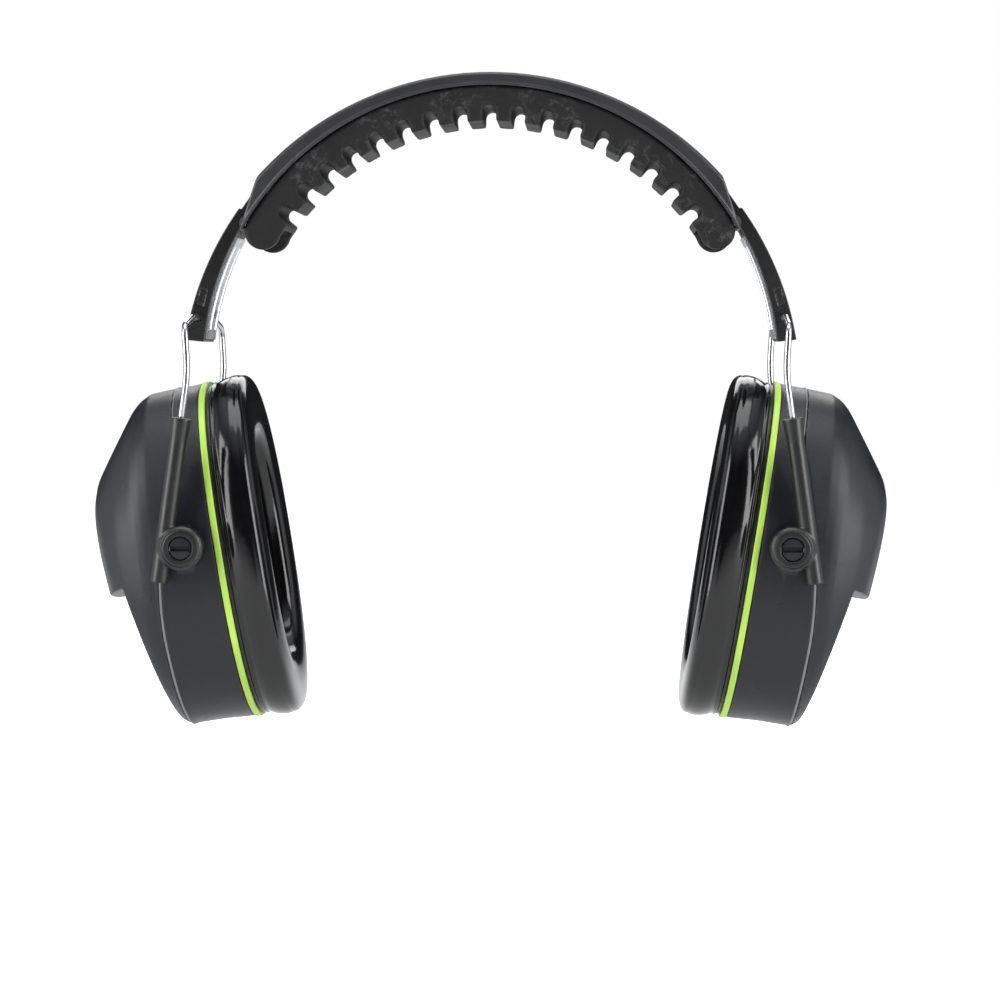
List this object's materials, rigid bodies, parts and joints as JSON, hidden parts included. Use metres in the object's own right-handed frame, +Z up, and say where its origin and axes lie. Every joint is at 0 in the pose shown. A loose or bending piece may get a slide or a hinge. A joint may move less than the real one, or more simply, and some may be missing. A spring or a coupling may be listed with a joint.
{
  "type": "earmuff hearing protector",
  "caption": "Folding over-the-head earmuff: padded band, hinged arms, sliding wire yokes, hooded ear cups with a coloured ring and vinyl cushions.",
  "frame": {"origin": "on the symmetry plane, level with the centres of both ear cups, where the middle of the wearer's head is", "axes": "+X to the wearer's left, -Y the way the wearer looks, +Z up to the crown"},
  "size_m": [0.2494, 0.0974, 0.2051],
  "materials": {
    "shell_plastic": "satin dark grey moulding",
    "pad_rubber": "matt black with a fine mottle",
    "spring_steel": "plain spring steel",
    "strip_steel": "bright zinc-plated steel",
    "chrome_wire": "bright nickel-chrome wire",
    "arm_plastic": "satin black moulding",
    "cup_plastic": "satin dark grey with a very fine grain",
    "lime_plastic": "satin lime green",
    "cushion_vinyl": "glossy soft black vinyl skin",
    "seal_foam": "open foam",
    "liner_foam": "dark open-cell foam"
  },
  "bodies": {
    "headband": {"band_shell": "shell_plastic", "band_spring": "spring_steel", "band_pad": "pad_rubber", "left_fold_pin": "spring_steel", "right_fold_pin": "spring_steel"},
    "left_arm": {"left_arm_cover": "arm_plastic", "left_arm_strip": "strip_steel"},
    "left_yoke": {"left_wire_yoke": "chrome_wire"},
    "left_guides": {"left_front_guide": "arm_plastic", "left_rear_guide": "arm_plastic"},
    "left_cup": {"left_cup_cover": "cup_plastic", "left_cup_body": "cup_plastic", "left_trim_ring": "lime_plastic", "left_cushion_plate": "arm_plastic", "left_cushion_foam": "seal_foam", "left_cushion_cover": "cushion_vinyl", "left_cup_liner": "liner_foam"},
    "right_arm": {"right_arm_cover": "arm_plastic", "right_arm_strip": "strip_steel"},
    "right_yoke": {"right_wire_yoke": "chrome_wire"},
    "right_guides": {"right_front_guide": "arm_plastic", "right_rear_guide": "arm_plastic"},
    "right_cup": {"right_cup_cover": "cup_plastic", "right_cup_body": "cup_plastic", "right_trim_ring": "lime_plastic", "right_cushion_plate": "arm_plastic", "right_cushion_foam": "seal_foam", "right_cushion_cover": "cushion_vinyl", "right_cup_liner": "liner_foam"}
  },
  "joints": [
    {"name": "left_arm_fold", "type": "hinge", "parent": "headband", "child": "left_arm", "pos_m": [0.07588, 0, 0.1028], "axis": [0, 1, 0], "range_deg": [0, 50]},
    {"name": "left_yoke_swivel", "type": "hinge", "parent": "left_arm", "child": "left_yoke", "pos_m": [0.09162, 0, 0.07328], "axis": [0, -1, 0], "range_deg": [-8, 25]},
    {"name": "left_cup_slide", "type": "slide", "parent": "left_yoke", "child": "left_guides", "axis": [0.1392, 0, -0.9903], "range_m": [-0.008, 0.028]},
    {"name": "left_cup_tilt", "type": "hinge", "parent": "left_guides", "child": "left_cup", "pos_m": [0.09267, 0, 0.00299], "axis": [0, -1, 0], "range_deg": [-15, 15]},
    {"name": "right_arm_fold", "type": "hinge", "parent": "headband", "child": "right_arm", "pos_m": [-0.07588, 0, 0.1028], "axis": [0, 1, 0], "range_deg": [-50, 0]},
    {"name": "right_yoke_swivel", "type": "hinge", "parent": "right_arm", "child": "right_yoke", "pos_m": [-0.09162, 0, 0.07328], "axis": [0, -1, 0], "range_deg": [-25, 8]},
    {"name": "right_cup_slide", "type": "slide", "parent": "right_yoke", "child": "right_guides", "axis": [-0.1392, 0, -0.9903], "range_m": [-0.008, 0.028]},
    {"name": "right_cup_tilt", "type": "hinge", "parent": "right_guides", "child": "right_cup", "pos_m": [-0.09267, 0, 0.00299], "axis": [0, -1, 0], "range_deg": [-15, 15]}
  ]
}
